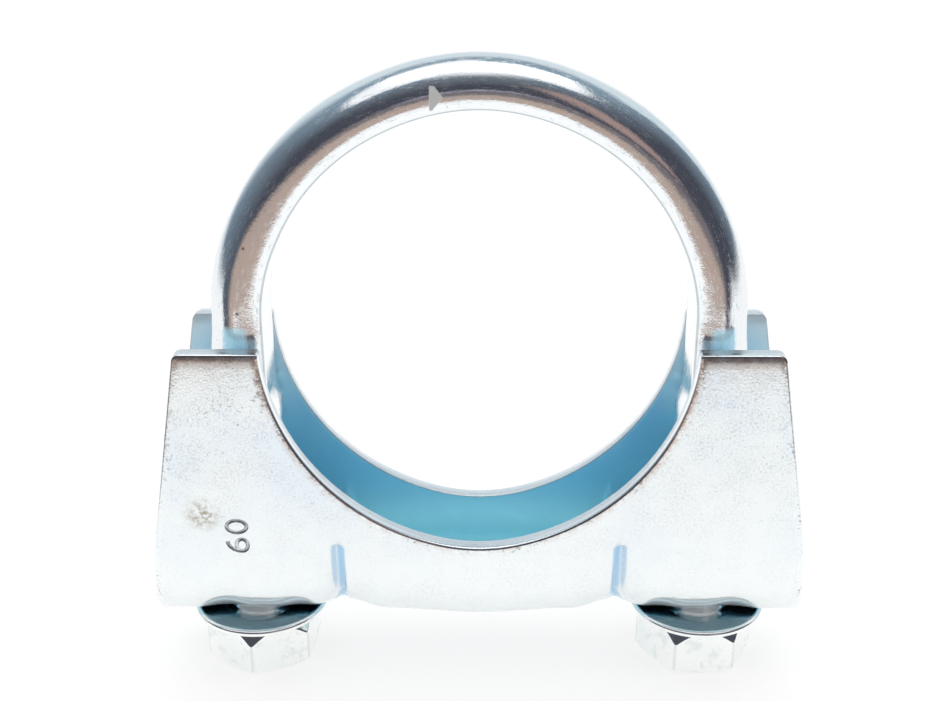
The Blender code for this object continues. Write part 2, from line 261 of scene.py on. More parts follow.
def node(tree, kind, **settings):
    made = tree.nodes.new(kind)
    for key, value in settings.items():
        setattr(made, key, value)
    return made


def join(tree, source, target):
    tree.links.new(source, target)


def feed(tree, socket, value):
    """Gives a socket a number, a colour or another socket's value."""
    if isinstance(value, (int, float)):
        socket.default_value = value
    elif isinstance(value, tuple):
        socket.default_value = (*value, 1.0)
    else:
        join(tree, value, socket)


def math_node(tree, operation, *values, clamp=False):
    made = node(tree, "ShaderNodeMath", operation=operation, use_clamp=clamp)
    for socket, value in zip(made.inputs, values):
        feed(tree, socket, value)
    return made.outputs[0]


def times(tree, first, second, clamp=False):
    return math_node(tree, "MULTIPLY", first, second, clamp=clamp)


def plus(tree, first, second, clamp=False):
    return math_node(tree, "ADD", first, second, clamp=clamp)


def minus(tree, first, second):
    return math_node(tree, "SUBTRACT", first, second)


def larger(tree, first, second):
    return math_node(tree, "MAXIMUM", first, second)


def smaller(tree, first, second):
    return math_node(tree, "MINIMUM", first, second)


def absolute(tree, value):
    return math_node(tree, "ABSOLUTE", value)


def map_range(tree, value, low, high, to_low=0.0, to_high=1.0, kind="SMOOTHSTEP"):
    made = node(tree, "ShaderNodeMapRange", interpolation_type=kind)
    join(tree, value, made.inputs["Value"])
    for name, number in (("From Min", low), ("From Max", high), ("To Min", to_low), ("To Max", to_high)):
        feed(tree, made.inputs[name], number)
    return made.outputs["Result"]


def mix_colour(tree, share, first, second):
    made = node(tree, "ShaderNodeMix", data_type="RGBA", blend_type="MIX")
    for socket, value in ((made.inputs[0], share), (made.inputs[6], first), (made.inputs[7], second)):
        feed(tree, socket, value)
    return made.outputs[2]


def noise(tree, vector, scale, detail=4.0, roughness=0.55):
    made = node(tree, "ShaderNodeTexNoise")
    join(tree, vector, made.inputs["Vector"])
    for name, value in (("Scale", scale), ("Detail", detail), ("Roughness", roughness)):
        feed(tree, made.inputs[name], value)
    return made.outputs["Fac"]


def band(tree, value, low, high, fade):
    """1 between low and high, fading to 0 past both."""
    rising = map_range(tree, value, low - fade / 2, low + fade / 2)
    return times(tree, rising, map_range(tree, value, high + fade / 2, high - fade / 2))


def group_inputs(group, sockets):
    """Adds named inputs, each (name, kind, value), and returns the group's input node."""
    for name, kind, value in sockets:
        made = group.interface.new_socket(name=name, in_out="INPUT", socket_type=kind)
        if value is not None:
            made.default_value = value
    return node(group, "NodeGroupInput")


def group_outputs(group, kind, *names):
    """Adds named outputs of one kind."""
    for name in names:
        group.interface.new_socket(name=name, in_out="OUTPUT", socket_type=kind)


# Surface effects shared by the materials

def plate_grain_group():
    """Bright zinc: a cloudy film, a fine grain and small dark pits. Vector in metres, Height in mm."""
    group = bpy.data.node_groups.new("plate_grain", "ShaderNodeTree")
    given = group_inputs(group, (
        ("Vector", "NodeSocketVector", None),
        ("Plate", "NodeSocketColor", (0.9, 0.93, 0.95, 1.0)),
        ("Film", "NodeSocketColor", (0.62, 0.78, 0.88, 1.0)),
        ("Film Amount", "NodeSocketFloat", 0.3),
        ("Film Size", "NodeSocketFloat", 90.0),
        ("Grain Size", "NodeSocketFloat", 4500.0),
        ("Grain Height", "NodeSocketFloat", 0.009),
        ("Roughness Low", "NodeSocketFloat", 0.1),
        ("Roughness High", "NodeSocketFloat", 0.2),
        ("Pits", "NodeSocketFloat", 0.3),
    ))
    group_outputs(group, "NodeSocketColor", "Colour")
    group_outputs(group, "NodeSocketFloat", "Roughness", "Height")
    out = node(group, "NodeGroupOutput")
    vector = given.outputs["Vector"]
    clouds = noise(group, vector, given.outputs["Film Size"], 3.0)
    film = times(group, map_range(group, clouds, 0.38, 0.68), given.outputs["Film Amount"])
    plated = mix_colour(group, film, given.outputs["Plate"], given.outputs["Film"])
    pit_size = times(group, given.outputs["Grain Size"], 0.55)
    pit = map_range(group, noise(group, vector, pit_size, 2.0, 0.6), 0.67, 0.76)
    pit = times(group, pit, given.outputs["Pits"])
    join(group, mix_colour(group, pit, plated, pit_grey), out.inputs["Colour"])
    rough = map_range(group, noise(group, vector, 420.0, 4.0, 0.65), 0.3, 0.7,
                      given.outputs["Roughness Low"], given.outputs["Roughness High"], "LINEAR")
    join(group, plus(group, rough, times(group, pit, 0.2)), out.inputs["Roughness"])
    grain = times(group, noise(group, vector, given.outputs["Grain Size"], 2.0, 0.5),
                  given.outputs["Grain Height"])
    waves = times(group, noise(group, vector, 450.0, 3.0, 0.6), 0.018)
    join(group, plus(group, grain, waves), out.inputs["Height"])
    return group


def grime_group():
    """Dark specks and small smears, thicker where Amount is higher."""
    group = bpy.data.node_groups.new("grime", "ShaderNodeTree")
    given = group_inputs(group, (
        ("Vector", "NodeSocketVector", None),
        ("Amount", "NodeSocketFloat", 0.5),
        ("Speck Size", "NodeSocketFloat", 900.0),
    ))
    group_outputs(group, "NodeSocketFloat", "Mask")
    out = node(group, "NodeGroupOutput")
    vector = given.outputs["Vector"]
    patches = map_range(group, noise(group, vector, 150.0, 3.0, 0.6), 0.35, 0.75)
    specks = noise(group, vector, given.outputs["Speck Size"], 4.0, 0.75)
    limit = minus(group, 0.79, times(group, given.outputs["Amount"], 0.22))
    upper = plus(group, limit, 0.09)
    mask = map_range(group, specks, limit, upper)
    mask = times(group, mask, plus(group, patches, 0.25), clamp=True)
    join(group, mask, out.inputs["Mask"])
    return group


def reach_from(tree, across, up, centre, radius):
    """Distance in metres from a round edge in the wall's plane, given its centre and radius."""
    off = [minus(tree, value, middle) for value, middle in zip((across, up), centre)]
    squares = [times(tree, value, value) for value in off]
    length = math_node(tree, "SQRT", plus(tree, *squares))
    return minus(tree, length, radius)


def wall_edge_group():
    """Distance in mm from the wall's cut-out, and from the nearest of all its free edges."""
    group = bpy.data.node_groups.new("wall_edge_distance", "ShaderNodeTree")
    given = group_inputs(group, (("Vector", "NodeSocketVector", None),))
    group_outputs(group, "NodeSocketFloat", "From Cut-out", "From Edge")
    out = node(group, "NodeGroupOutput")
    place = node(group, "ShaderNodeSeparateXYZ")
    join(group, given.outputs["Vector"], place.inputs[0])
    across = absolute(group, place.outputs["X"])
    up = minus(group, place.outputs["Z"], web_z)
    by_bottom = reach_from(group, across, up, (0.0, cut_bottom_z), bottom_radius)
    by_flank = reach_from(group, across, up, (-flank_offset, cut_flank_z), flank_radius)
    rise = times(group, minus(group, up, cut_bottom_z), flank_offset)
    run = times(group, across, cut_flank_z - cut_bottom_z)
    on_flank = math_node(group, "GREATER_THAN", plus(group, rise, run), 0.0)
    gap = minus(group, by_flank, by_bottom)
    cut = math_node(group, "MULTIPLY_ADD", on_flank, gap, by_bottom)
    top = minus(group, horn_z, up)
    lean = (half_bottom - half_top) / (horn_z - side_foot)
    over = larger(group, minus(group, up, side_foot), 0.0)
    side = minus(group, math_node(group, "MULTIPLY_ADD", over, -lean, half_bottom), across)
    nearest = smaller(group, smaller(group, cut, top), side)
    join(group, math_node(group, "DIVIDE", cut, mm), out.inputs["From Cut-out"])
    join(group, math_node(group, "DIVIDE", nearest, mm), out.inputs["From Edge"])
    return group


plate_grain = plate_grain_group()
grime = grime_group()
wall_edge_distance = wall_edge_group()


def new_material(name):
    material = bpy.data.materials.new(name)
    material.use_nodes = True
    return material, material.node_tree, material.node_tree.nodes["Principled BSDF"]


def place_group(tree, group, vector, **values):
    made = node(tree, "ShaderNodeGroup", node_tree=group)
    join(tree, vector, made.inputs["Vector"])
    for name, value in values.items():
        feed(tree, made.inputs[name.replace("_", " ")], value)
    return made


def surface(tree, shader, colour, roughness, height):
    """Feeds a metal shader. The height is in millimetres."""
    shader.inputs["Metallic"].default_value = 1.0
    join(tree, colour, shader.inputs["Base Color"])
    join(tree, roughness, shader.inputs["Roughness"])
    bumped = node(tree, "ShaderNodeBump")
    bumped.inputs["Strength"].default_value = 1.0
    bumped.inputs["Distance"].default_value = mm
    join(tree, height, bumped.inputs["Height"])
    join(tree, bumped.outputs["Normal"], shader.inputs["Normal"])


def object_place(tree):
    return node(tree, "ShaderNodeTexCoord").outputs["Object"]


def near(tree, vector, centre, reach):
    """A soft round patch on Object coordinates, 1 at its centre and 0 past its reach."""
    apart = node(tree, "ShaderNodeVectorMath", operation="DISTANCE")
    join(tree, vector, apart.inputs[0])
    apart.inputs[1].default_value = centre
    return map_range(tree, apart.outputs["Value"], reach, 0.0)


def axis_value(tree, vector, axis):
    parts = node(tree, "ShaderNodeSeparateXYZ")
    join(tree, vector, parts.inputs[0])
    return parts.outputs[axis]


def sheet_outside():
    """The saddle's outer side: near white, specked by its edges, with a stain, a painted floor reflection
    whitening it low down, a painted brown reflection by its edges and horn tops, painted blue reflections
    in the darts and a painted blue shade underneath.
    """
    material, tree, shader = new_material("zinc_sheet_outside")
    place = object_place(tree)
    edges = place_group(tree, wall_edge_distance, place)
    cut, edge = edges.outputs["From Cut-out"], edges.outputs["From Edge"]
    height = axis_value(tree, place, "Z")
    grain = place_group(tree, plate_grain, place, Plate=(0.88, 0.915, 0.92), Film=(0.76, 0.85, 0.95),
                        Film_Amount=0.6, Film_Size=75.0, Grain_Size=3300.0, Grain_Height=0.016,
                        Roughness_Low=0.07, Roughness_High=0.14, Pits=0.5)
    # painted blue shade and reflection on the web's underside, where it faces the flanges
    under = map_range(tree, absolute(tree, axis_value(tree, place, "Y")), 5.1 * mm, 4.2 * mm)
    # painted reflection of the white floor: whiter towards the bottom of the wall
    low = map_range(tree, height, 36.0 * mm, 18.0 * mm, 0.0, 0.8, "LINEAR")
    colour = mix_colour(tree, low, grain.outputs["Colour"], wall_floor_reflection)
    colour = mix_colour(tree, under, colour, wall_underside_shade)
    mottle = map_range(tree, noise(tree, place, 2900.0, 4.0, 0.75), 0.42, 0.70)
    cloudy = map_range(tree, noise(tree, place, 230.0, 4.0), 0.35, 0.65, 0.3, 1.0)
    mottle = times(tree, mottle, cloudy)
    mottle = times(tree, mottle, map_range(tree, height, 18.0 * mm, 50.0 * mm, 0.22, 0.75))
    colour = mix_colour(tree, mottle, colour, wall_mottle)
    # painted blue reflection on the centre-side flank of each dart
    dart_reflection = minus(tree, absolute(tree, axis_value(tree, place, "X")), dart_x)
    dart_reflection = times(tree, band(tree, dart_reflection, -1.15 * mm, 0.15 * mm, 0.5 * mm),
                   map_range(tree, height, web_z + dart_height - 0.2 * mm, web_z + dart_height - 1.2 * mm))
    colour = mix_colour(tree, times(tree, dart_reflection, 0.85), colour, dart_reflection_blue)
    # painted brown reflection by the cut-out and at the horn tops, stronger higher up
    patchy = map_range(tree, noise(tree, place, 700.0, 4.0, 0.65), 0.30, 0.62)
    top = times(tree, map_range(tree, height, horn_top - 1.9 * mm, horn_top - 0.5 * mm), 0.9)
    brown_reflection = larger(tree, map_range(tree, cut, 1.5, 0.1), top)
    brown_reflection = times(tree, brown_reflection, patchy)
    brown_reflection = times(tree, brown_reflection, map_range(tree, height, 20.0 * mm, 38.0 * mm, 0.4, 0.8))
    colour = mix_colour(tree, brown_reflection, colour, wall_brown_reflection)
    amount = plus(tree, map_range(tree, edge, 2.6, 0.1, 0.0, 0.6),
                  map_range(tree, height, 22.0 * mm, 50.0 * mm, 0.0, 0.30))
    amount = plus(tree, amount, 0.42)
    for centre, reach, strength in wall_smudges:
        patch = times(tree, near(tree, place, centre, reach), strength)
        amount = plus(tree, amount, patch)
    specks = place_group(tree, grime, place, Amount=amount, Speck_Size=1300.0).outputs["Mask"]
    stain = near(tree, place, *stain_place)
    blotch = map_range(tree, noise(tree, place, 1300.0, 4.0, 0.7), 0.40, 0.60)
    stain = times(tree, stain, times(tree, blotch, 0.9))
    colour = mix_colour(tree, stain, colour, wall_stain)
    colour = mix_colour(tree, times(tree, specks, 0.65), colour, wall_speck)
    rough = plus(tree, grain.outputs["Roughness"], times(tree, specks, 0.2))
    rolled = map_range(tree, edge, 1.4, 0.0, 0.0, 1.0, "LINEAR")
    rolled = times(tree, times(tree, rolled, rolled), -0.03)
    surface(tree, shader, colour, rough, plus(tree, grain.outputs["Height"], rolled))
    # fully metallic at the painted underside shade and by the edges
    bare = larger(tree, under, map_range(tree, edge, 1.6, 0.5))
    join(tree, map_range(tree, bare, 0.0, 1.0, 0.6, 1.0), shader.inputs["Metallic"])
    return material


def sheet_inside():
    """The saddle's inner side: a thick, slightly milky blue film, with painted light making it lighter at
    the bottom and a painted reflection making it lighter up in the horns.
    """
    material, tree, shader = new_material("zinc_sheet_inside")
    place = object_place(tree)
    grain = place_group(tree, plate_grain, place, Plate=(0.32, 0.76, 1.0), Film=(0.38, 0.81, 1.0),
                        Film_Amount=0.7, Film_Size=110.0, Grain_Size=3600.0, Grain_Height=0.009,
                        Roughness_Low=0.32, Roughness_High=0.42, Pits=0.10)
    height = axis_value(tree, place, "Z")
    # painted light: lighter towards the bottom of the inside
    low = map_range(tree, height, 28.0 * mm, 19.0 * mm)
    colour = mix_colour(tree, low, grain.outputs["Colour"], inside_lit_bottom)
    # painted reflection: lighter up in the horns
    lit_horns = map_range(tree, height, 37.0 * mm, 56.0 * mm, 0.0, 1.0, "LINEAR")
    colour = mix_colour(tree, lit_horns, colour, inside_lit_horns)
    surface(tree, shader, colour, grain.outputs["Roughness"], grain.outputs["Height"])
    shader.inputs["Metallic"].default_value = 0.55
    return material


def sheet_cut():
    """The punched edge of the sheet: burnished by the die on one side and torn on the other."""
    material, tree, shader = new_material("zinc_sheet_cut")
    place = object_place(tree)
    depth = node(tree, "ShaderNodeAttribute", attribute_name="through_sheet").outputs["Fac"]
    torn = map_range(tree, depth, 0.42, 0.55)
    ragged = noise(tree, place, 2600.0, 3.0, 0.7)
    torn = times(tree, torn, map_range(tree, ragged, 0.3, 0.6, 0.4, 1.0))
    grain = place_group(tree, plate_grain, place, Plate=(0.95, 0.97, 0.98), Film=(0.84, 0.90, 0.93),
                        Film_Amount=0.4, Film_Size=160.0, Grain_Size=3800.0, Grain_Height=0.008,
                        Roughness_Low=0.16, Roughness_High=0.30, Pits=0.3)
    colour = mix_colour(tree, torn, grain.outputs["Colour"], torn_edge)
    rough = plus(tree, grain.outputs["Roughness"], times(tree, torn, 0.2))
    height = math_node(tree, "MULTIPLY_ADD", times(tree, ragged, torn), 0.03, grain.outputs["Height"])
    surface(tree, shader, colour, rough, height)
    return material


def number_groove():
    """The struck number, its recess painted darker grey as shade."""
    material, tree, shader = new_material("zinc_in_number_shade")
    place = object_place(tree)
    # painted shade: the number's recess is coloured darker grey
    grain = place_group(tree, plate_grain, place, Plate=(0.44, 0.47, 0.49), Film=(0.86, 0.88, 0.90),
                        Film_Amount=1.0, Film_Size=1100.0, Grain_Size=4200.0, Roughness_Low=0.30,
                        Roughness_High=0.45, Pits=0.3)
    surface(tree, shader, grain.outputs["Colour"], grain.outputs["Roughness"], grain.outputs["Height"])
    return material


def rod_plate():
    """The bolt's rod: glossy, finely pitted and streaked, with a dull line along both edges of its flat.

    It has a few nicks, a bruise by the crown and a painted pale blue reflection at the foot of each leg.
    """
    material, tree, shader = new_material("zinc_on_bolt")
    place = object_place(tree)
    grain = place_group(tree, plate_grain, place, Plate=(0.93, 0.955, 0.97), Film=(0.80, 0.88, 0.93),
                        Film_Amount=0.35, Film_Size=120.0, Grain_Size=3300.0, Grain_Height=0.008,
                        Roughness_Low=0.06, Roughness_High=0.12, Pits=0.4)
    along = node(tree, "ShaderNodeUVMap", uv_map="along_rod").outputs["UV"]
    stretch = node(tree, "ShaderNodeMapping")
    join(tree, along, stretch.inputs["Vector"])
    stretch.inputs["Scale"].default_value = (1.0, 0.16, 1.0)
    streaks = noise(tree, stretch.outputs["Vector"], 1500.0, 3.0, 0.6)
    drawn = times(tree, streaks, 0.009)
    dull = map_range(tree, noise(tree, stretch.outputs["Vector"], 3600.0, 4.0, 0.75), 0.50, 0.66)
    cloudy = map_range(tree, noise(tree, place, 260.0, 3.0), 0.34, 0.60, 0.35, 1.0)
    dull = times(tree, dull, cloudy)
    rough = math_node(tree, "MULTIPLY_ADD", dull, 0.36, grain.outputs["Roughness"])
    specks = place_group(tree, grime, place, Amount=0.36, Speck_Size=1700.0).outputs["Mask"]
    colour = mix_colour(tree, times(tree, specks, 0.6), grain.outputs["Colour"], rod_speck)
    flat_edge = node(tree, "ShaderNodeAttribute", attribute_name="flat_edge").outputs["Fac"]
    line = map_range(tree, flat_edge, 0.15, 0.60, 0.0, 0.8)
    colour = mix_colour(tree, line, colour, rod_edge_line)
    for centre, reach in rod_nicks:
        colour = mix_colour(tree, near(tree, place, centre, reach), colour, rod_nick)
    x, z = axis_value(tree, place, "X"), axis_value(tree, place, "Z")
    # painted pale blue reflection round the foot of each leg
    foot = times(tree, band(tree, z, *foot_reflection_up, 1.0 * mm),
                 band(tree, absolute(tree, x), *foot_reflection_aside, 1.0 * mm))
    colour = mix_colour(tree, times(tree, foot, 0.85), colour, rod_foot_reflection)
    slant = absolute(tree, minus(tree, z, 90.0 * mm))
    slant = math_node(tree, "MULTIPLY_ADD", slant, 0.8, x)
    bruise = times(tree, map_range(tree, x, -6.6 * mm, -6.4 * mm),
                   map_range(tree, slant, -4.6 * mm, -4.9 * mm))
    bruise = times(tree, bruise, band(tree, z, *bruise_up, 0.2 * mm))
    bruise = times(tree, bruise, map_range(tree, axis_value(tree, place, "Y"), -4.0 * mm, -5.0 * mm))
    colour = mix_colour(tree, bruise, colour, rod_bruise)
    rough = larger(tree, rough, times(tree, bruise, 0.75))
    surface(tree, shader, colour, rough, plus(tree, grain.outputs["Height"], drawn))
    # less metallic at the bruise and at the painted foot reflection
    milky = larger(tree, times(tree, bruise, 0.85), times(tree, foot, 0.6))
    join(tree, minus(tree, 1.0, milky), shader.inputs["Metallic"])
    return material


def nut_plate():
    """The nuts: near-white zinc, with a painted blue shade on the flange's bearing face under the saddle
    and a painted shade line down the hexagon's corners.
    """
    material, tree, shader = new_material("zinc_on_nuts")
    place = object_place(tree)
    grain = place_group(tree, plate_grain, place, Plate=(0.98, 0.99, 0.985), Film=(0.86, 0.93, 0.91),
                        Film_Amount=0.45, Film_Size=130.0, Grain_Size=4200.0, Grain_Height=0.006,
                        Roughness_Low=0.10, Roughness_High=0.20, Pits=0.35)
    specks = place_group(tree, grime, place, Amount=0.22, Speck_Size=1300.0).outputs["Mask"]
    colour = mix_colour(tree, times(tree, specks, 0.5), grain.outputs["Colour"], nut_speck)
    # painted shade line down the hexagon's rounded corners
    beside = minus(tree, absolute(tree, axis_value(tree, place, "X")), leg_x)
    deep = axis_value(tree, place, "Y")
    square = math_node(tree, "MULTIPLY_ADD", beside, beside, times(tree, deep, deep))
    apart = math_node(tree, "SQRT", square)
    corner = times(tree, map_range(tree, apart, 9.02 * mm, 9.16 * mm),
                   map_range(tree, axis_value(tree, place, "Z"), 7.4 * mm, 7.0 * mm))
    colour = mix_colour(tree, times(tree, corner, 0.35), colour, nut_corner_shade)
    dirty = map_range(tree, noise(tree, place, 420.0, 5.0, 0.65), 0.52, 0.66, 0.0, 0.5)
    colour = mix_colour(tree, dirty, colour, nut_film)
    # painted blue shade and reflection on the flange's bearing face, under the saddle
    bearing = map_range(tree, axis_value(tree, place, "Z"), nut_height - 0.07 * mm, nut_height - 0.01 * mm)
    colour = mix_colour(tree, bearing, colour, nut_bearing_shade)
    surface(tree, shader, colour, grain.outputs["Roughness"], grain.outputs["Height"])
    return material


zinc_outside = sheet_outside()
zinc_inside = sheet_inside()
zinc_cut = sheet_cut()
zinc_number_shade = number_groove()
zinc_rod = rod_plate()
zinc_nut = nut_plate()


# U-bolt

def pressed_thickness(height):
    """Thickness of the pressed rod, from below 0 on the legs to a height of 1 at the crown."""
    if height < 0.0:
        share = smooth(-height * arch_flat / springing_run)
        return springing_thickness + (leg_thickness - springing_thickness) * share
    return crown_thickness + (springing_thickness - crown_thickness) * (1.0 - height ** crown_fullness)


def rod_section(press, height, inner):
    """Half-round rod with a flat: pairs of distance from the bolt's middle and place across it."""
    wide = leg_width + (crown_width - leg_width) * max(height, 0.0)
    thick = pressed_thickness(height)
    waist = 0.38 * thick
    start = (leg_x - rod_radius) * (1 - press) + inner * press
    side = rod_radius * (1 - press) + waist * press
    rise = rod_radius * (1 - press) + (thick - waist) * press
    fall = rod_radius * (1 - press) + waist / math.sin(math.acos(flat_share)) * press
    half = rod_radius * (1 - press) + wide / 2 * press
    edge = math.degrees(math.acos(flat_share))
    angles = [-edge + (180.0 + 2 * edge) * i / dome_steps for i in range(dome_steps + 1)]
    angles += [180.0 + edge + (180.0 - 2 * edge) * i / flat_steps for i in range(1, flat_steps)]
    section = []
    for angle in map(math.radians, angles):
        lift = (rise if math.sin(angle) > 0 else fall) * math.sin(angle)
        section.append([start + max(side + lift, 0.0), half * math.cos(angle)])
    soften_corner(section, 0, flat_corner * press)
    soften_corner(section, dome_steps, flat_corner * press)
    return section


def soften_corner(section, corner, radius):
    """Moves the points beside one of the flat's edges onto a small round."""
    count = len(section)
    ends = [Vector(section[(corner + step) % count]) for step in (-2, 2)]
    tip = Vector(section[corner])
    arms = [(end - tip).normalized() for end in ends]
    share = min(radius, 0.9 * min((end - tip).length for end in ends))
    first, last = tip + arms[0] * share, tip + arms[1] * share
    for step, blend in ((-1, 0.0), (0, 0.5), (1, 1.0)):
        low = first.lerp(tip, blend)
        high = tip.lerp(last, blend)
        section[(corner + step) % count] = list(low.lerp(high, blend))


def leg_stops():
    """Stops up one leg: height over its end, how far it is pressed flat and its plain radius."""
    stops = [(0.0, 0.0, leg_root - 0.7 * mm), (0.7 * mm, 0.0, leg_root),
             (thread_length - 0.3 * mm, 0.0, leg_root), (thread_length + 0.6 * mm, 0.0, rod_radius)]
    stops += [(flat_start + flat_blend * i / 10, smooth(i / 10), rod_radius) for i in range(11)]
    stops += [(flat_start + flat_blend + 3.0 * mm * i, 1.0, rod_radius) for i in (1, 2, 3)]
    return stops


def make_rod():
    rings = []
    run = []
    leg_length = arch_z - leg_end_z
    for rise, press, radius in leg_stops():
        section = rod_section(press, (rise - leg_length) / arch_flat, leg_flat)
        if radius < rod_radius:
            section = [[leg_x + (r - leg_x) * radius / rod_radius, y * radius / rod_radius]
                       for r, y in section]
        rings.append([(-r, y, leg_end_z + rise) for r, y in section])
        run.append(rise)
    for i in range(bend_steps + 1):
        turn = math.pi * i / bend_steps
        from_leg = math.degrees(min(turn, math.pi - turn))
        inner = arch_flat + (leg_flat - arch_flat) * smooth(1.0 - from_leg / arch_blend)
        inner += (crown_flat - arch_flat) * smooth(1.0 - (90.0 - from_leg) / arch_blend)
        section = rod_section(1.0, math.sin(turn), inner)
        rings.append([(-r * math.cos(turn), y, arch_z + r * math.sin(turn)) for r, y in section])
        run.append(leg_length + turn * leg_x)
    last = run[-1]
    for (rise, press, radius), ring in reversed(list(zip(leg_stops(), rings))):
        rings.append([(-x, y, z) for x, y, z in ring])
        run.append(last + leg_length - rise)
    size = len(rings[0])
    points = [point for ring in rings for point in ring]
    rod = mesh_object("u_bolt_rod", points, ring_faces(len(rings), size, False), [zinc_rod])
    layer = rod.data.uv_layers.new(name="along_rod")
    for face in rod.data.polygons:
        around = [index % size for index in face.vertices]
        wraps = max(around) - min(around) > size // 2
        for loop, index in zip(face.loop_indices, face.vertices):
            place = index % size
            if wraps and place < size // 2:
                place += size
            layer.data[loop].uv = (place / size * rod_girth, run[index // size])
    flat_edge = rod.data.attributes.new("flat_edge", "FLOAT", "POINT")
    pressed = [press for rise, press, radius in leg_stops()]
    pressed += [1.0] * (bend_steps + 1) + pressed[::-1]
    for index, value in enumerate(flat_edge.data):
        value.value = pressed[index // size] if index % size in (0, dome_steps) else 0.0
    return rod


def thread_tree():
    """Geometry nodes for a screw thread: a ridge swept along a spiral that fades at both ends."""
    tree = bpy.data.node_groups.new("screw_thread", "GeometryNodeTree")
    tree.interface.new_socket(name="Geometry", in_out="INPUT", socket_type="NodeSocketGeometry")
    given = group_inputs(tree, (
        ("Root Radius", "NodeSocketFloat", 0.004),
        ("Pitch", "NodeSocketFloat", 0.0015),
        ("Turns", "NodeSocketFloat", 10.0),
        ("Ridge Height", "NodeSocketFloat", 0.0008),
        ("Root Width", "NodeSocketFloat", 0.0013),
        ("Crest Width", "NodeSocketFloat", 0.0003),
        ("Fade", "NodeSocketFloat", 0.03),
        ("Finish", "NodeSocketMaterial", None),
    ))
    group_outputs(tree, "NodeSocketGeometry", "Geometry")
    out = node(tree, "NodeGroupOutput")
    spiral = node(tree, "GeometryNodeCurveSpiral")
    spiral.inputs["Resolution"].default_value = 48
    join(tree, given.outputs["Turns"], spiral.inputs["Rotations"])
    join(tree, given.outputs["Root Radius"], spiral.inputs["Start Radius"])
    join(tree, given.outputs["Root Radius"], spiral.inputs["End Radius"])
    join(tree, times(tree, given.outputs["Pitch"], given.outputs["Turns"]), spiral.inputs["Height"])
    upright = node(tree, "GeometryNodeSetCurveNormal", mode="Z_UP")
    join(tree, spiral.outputs["Curve"], upright.inputs["Curve"])
    place = node(tree, "GeometryNodeSplineParameter").outputs["Factor"]
    start = map_range(tree, place, 0.0, given.outputs["Fade"])
    end = map_range(tree, minus(tree, 1.0, place), 0.0, given.outputs["Fade"])
    faded = node(tree, "GeometryNodeSetCurveRadius")
    join(tree, upright.outputs["Curve"], faded.inputs["Curve"])
    join(tree, larger(tree, times(tree, start, end), 0.02), faded.inputs["Radius"])
    profile = node(tree, "GeometryNodeCurvePrimitiveQuadrilateral", mode="TRAPEZOID")
    join(tree, given.outputs["Root Width"], profile.inputs["Bottom Width"])
    join(tree, given.outputs["Crest Width"], profile.inputs["Top Width"])
    join(tree, given.outputs["Ridge Height"], profile.inputs["Height"])
    profile.inputs["Offset"].default_value = 0.0
    turned = node(tree, "GeometryNodeTransform")
    join(tree, profile.outputs["Curve"], turned.inputs["Geometry"])
    turned.inputs["Rotation"].default_value = (0.0, 0.0, math.radians(-90.0))
    swept = node(tree, "GeometryNodeCurveToMesh")
    join(tree, faded.outputs["Curve"], swept.inputs["Curve"])
    join(tree, turned.outputs["Geometry"], swept.inputs["Profile Curve"])
    swept.inputs["Fill Caps"].default_value = True
    whole = node(tree, "GeometryNodeRealizeInstances")
    join(tree, swept.outputs["Mesh"], whole.inputs["Geometry"])
    finish = node(tree, "GeometryNodeSetMaterial")
    join(tree, whole.outputs["Geometry"], finish.inputs["Geometry"])
    join(tree, given.outputs["Finish"], finish.inputs["Material"])
    join(tree, finish.outputs["Geometry"], out.inputs["Geometry"])
    return tree


screw_thread = thread_tree()


def make_thread(name, centre_x, base_z, finish, sizes):
    """One thread, grown by the tree and kept as a plain mesh in its place."""
    grower = add_object(name + "_grower", bpy.data.meshes.new(name + "_grower"))
    step = grower.modifiers.new("thread", "NODES")
    step.node_group = screw_thread
    values = dict(sizes, Finish=finish)
    for item in screw_thread.interface.items_tree:
        if item.in_out == "INPUT" and item.name in values:
            step[item.identifier] = values[item.name]
    mesh = settled_mesh(grower)
    bpy.data.objects.remove(grower, do_unlink=True)
    for point in mesh.vertices:
        x, y, z = point.co
        point.co = (centre_x + x, y, base_z + z)
    face_outwards(mesh)
    shade(mesh, 25.0)
    return add_object(name, mesh)


# Flange nuts

def hexagon(turn):
    """Distance from the axis to the hexagon with its corners a little rounded, a corner at angle 0."""
    sixth = math.pi / 3
    off = abs((turn + sixth / 2) % sixth - sixth / 2)
    plain = nut_across_flats / 2 / math.cos(sixth / 2 - off)
    round_radius = 0.5 * mm
    centre = (nut_across_flats / 2 - round_radius) / math.cos(sixth / 2)
    beside = centre * math.sin(off)
    edge = centre * math.cos(off) + math.sqrt(max(round_radius ** 2 - beside ** 2, 0.0))
    return min(plain, edge) if beside < round_radius else plain


